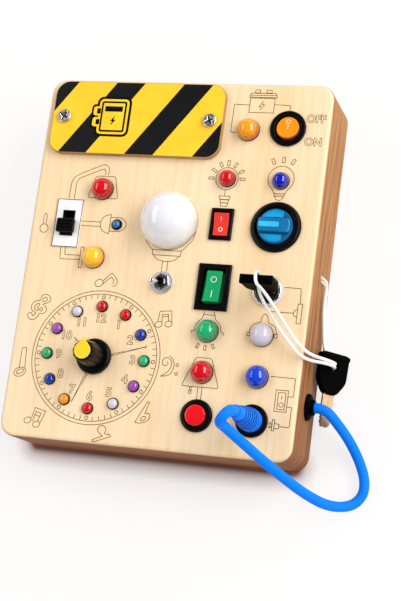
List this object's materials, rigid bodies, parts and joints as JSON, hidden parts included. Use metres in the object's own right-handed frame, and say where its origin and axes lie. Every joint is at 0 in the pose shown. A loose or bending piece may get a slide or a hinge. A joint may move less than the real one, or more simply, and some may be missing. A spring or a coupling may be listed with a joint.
{
  "type": "wooden busy board",
  "caption": "Wooden box-shaped activity board for a child: rocker, slide, toggle, rotary, key and push switches, coloured lamps, a clock dial with a selector, and a plug on a cord.",
  "frame": {"origin": "centre of the case's back face, which lies on the floor", "axes": "+X to the right across the panel, +Y up the panel towards the striped battery cover, +Z out of the front panel"},
  "size_m": [0.235, 0.2648, 0.1005],
  "materials": {
    "pine": "sanded pine, bare",
    "pine_front": "sanded pine, bare",
    "hardboard": "smooth hardboard",
    "cover_yellow": "printed plate with slanted stripes",
    "zinc": "polished plating",
    "black_plastic": "moulded",
    "black_satin": "moulded",
    "cell_wrap": "plain printed sleeve",
    "spring_steel": "bright",
    "lens_mixed": "clear coloured dome",
    "lamp_white": "frosted",
    "led_blue": "tinted",
    "clock_led_mixed": "tinted domes",
    "circuit_green": "lacquered board",
    "knob_grey": "moulded",
    "pointer_yellow": "moulded",
    "amber": "translucent",
    "red": "moulded",
    "green": "translucent",
    "white_plate": "moulded",
    "blue": "moulded",
    "chrome": "polished",
    "brass_key": "nickel plated",
    "blue_rubber": "satin",
    "string_white": "braided"
  },
  "bodies": {
    "board": {"case_frame": "pine", "front_panel": "pine_front", "back_panel": "hardboard", "battery_cover": "cover_yellow", "cover_screws": "zinc", "battery_tray": "black_satin", "battery_cells": "cell_wrap", "battery_contacts": "spring_steel", "indicator_lenses": "lens_mixed", "indicator_leds": "circuit_green", "lamp_dome": "lamp_white", "lamp_board": "circuit_green", "blue_led_holder": "black_plastic", "blue_led": "led_blue", "clock_leds": "clock_led_mixed", "clock_board": "circuit_green", "selector_housing": "black_satin", "amber_switch_housing": "black_plastic", "red_switch_housing": "black_plastic", "green_switch_housing": "black_plastic", "slide_plate": "white_plate", "slide_housing": "black_satin", "rotary_housing": "black_plastic", "toggle_housing": "chrome", "toggle_washer": "chrome", "toggle_nut": "chrome", "lock_housing": "chrome", "lock_nut": "chrome", "button_housing": "black_plastic", "socket_housing": "black_plastic", "cable_gland": "black_satin", "blue_cord": "blue_rubber", "key_string": "string_white", "loose_key_bow": "black_satin", "loose_key_blade": "brass_key"},
    "amber_rocker": {"amber_rocker": "amber"},
    "red_rocker": {"red_rocker": "red"},
    "green_rocker": {"green_rocker": "green"},
    "toggle_lever": {"toggle_lever": "chrome"},
    "slide_knob": {"slide_knob": "black_plastic"},
    "clock_knob": {"clock_knob": "knob_grey", "clock_pointer": "pointer_yellow", "clock_shaft": "spring_steel"},
    "rotary_knob": {"rotary_knob": "blue", "rotary_pointer": "white_plate"},
    "push_button": {"button_cap": "red"},
    "lock_rotor": {"lock_rotor": "chrome"},
    "lock_key": {"key_bow": "black_satin", "key_blade": "brass_key"},
    "plug": {"plug_pin": "chrome", "plug_handle": "blue_rubber"}
  },
  "joints": [
    {"name": "amber_rock", "type": "hinge", "parent": "board", "child": "amber_rocker", "pos_m": [0.0694, 0.091, 0.0455], "axis": [1, 0, 0], "range_deg": [0, 16]},
    {"name": "red_rock", "type": "hinge", "parent": "board", "child": "red_rocker", "pos_m": [0.0338, 0.026, 0.0455], "axis": [1, 0, 0], "range_deg": [-16, 0]},
    {"name": "green_rock", "type": "hinge", "parent": "board", "child": "green_rocker", "pos_m": [0.0338, -0.0152, 0.0455], "axis": [1, 0, 0], "range_deg": [0, 16]},
    {"name": "toggle_throw", "type": "hinge", "parent": "board", "child": "toggle_lever", "pos_m": [-0.0005, -0.0143, 0.0477], "axis": [-0.6561, 0.7547, 0], "range_deg": [0, 26]},
    {"name": "slide_travel", "type": "slide", "parent": "board", "child": "slide_knob", "axis": [0, 1, 0], "range_m": [0, 0.008]},
    {"name": "clock_turn", "type": "hinge", "parent": "board", "child": "clock_knob", "pos_m": [-0.0383, -0.0657, 0.0465], "axis": [0, 0, 1], "range_deg": [-330, 0]},
    {"name": "rotary_turn", "type": "hinge", "parent": "board", "child": "rotary_knob", "pos_m": [0.0694, 0.026, 0.0465], "axis": [0, 0, 1], "range_deg": [-90, 0]},
    {"name": "button_press", "type": "slide", "parent": "board", "child": "push_button", "axis": [0, 0, -1], "range_m": [0, 0.0024], "stiffness_N_per_m": 250, "springref_m": -0.002},
    {"name": "lock_turn", "type": "hinge", "parent": "board", "child": "lock_rotor", "pos_m": [0.0694, -0.0152, 0.0486], "axis": [0, 0, 1], "range_deg": [0, 90], "deforming": ["key_string"]},
    {"name": "key_pull", "type": "slide", "parent": "lock_rotor", "child": "lock_key", "axis": [0, 0, 1], "range_m": [0, 0.015], "deforming": ["key_string"]},
    {"name": "plug_pull", "type": "slide", "parent": "board", "child": "plug", "axis": [0, 0, 1], "range_m": [0, 0.014], "deforming": ["blue_cord"]}
  ]
}
